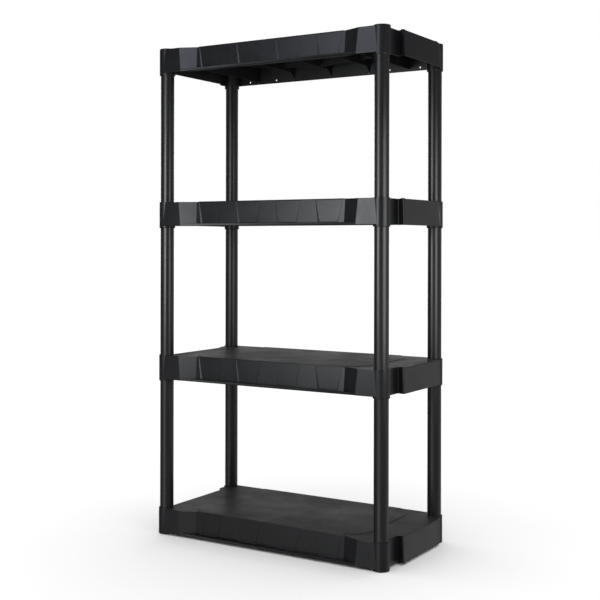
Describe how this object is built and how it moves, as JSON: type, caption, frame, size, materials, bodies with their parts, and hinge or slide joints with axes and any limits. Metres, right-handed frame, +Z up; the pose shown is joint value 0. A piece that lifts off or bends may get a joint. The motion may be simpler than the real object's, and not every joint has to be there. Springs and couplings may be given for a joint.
{
  "type": "shelving unit",
  "caption": "Free-standing black resin shelving unit: ribbed moulded tray shelves on round push-fit tube posts, with capped corners and a side tongue and groove for standing units together.",
  "frame": {"origin": "middle of the footprint of the overall box, at floor level", "axes": "+Z up, -Y the front with the recessed panelled skirt, +X the side with the tongue"},
  "size_m": [0.6564, 0.322, 1.2192],
  "materials": {
    "shelf_resin": "injection-moulded black resin with a satin, faintly grained surface",
    "post_resin": "smooth black extruded-look resin tube with a soft sheen",
    "cap_resin": "satin black moulded resin"
  },
  "bodies": {
    "root": {"shelf_1": "shelf_resin", "shelf_2": "shelf_resin", "shelf_3": "shelf_resin", "shelf_4": "shelf_resin", "post_1_front_left": "post_resin", "post_1_front_right": "post_resin", "post_1_rear_left": "post_resin", "post_1_rear_right": "post_resin", "post_2_front_left": "post_resin", "post_2_front_right": "post_resin", "post_2_rear_left": "post_resin", "post_2_rear_right": "post_resin", "post_3_front_left": "post_resin", "post_3_front_right": "post_resin", "post_3_rear_left": "post_resin", "post_3_rear_right": "post_resin", "cap_front_left": "cap_resin", "cap_front_right": "cap_resin", "cap_rear_left": "cap_resin", "cap_rear_right": "cap_resin"}
  },
  "joints": []
}
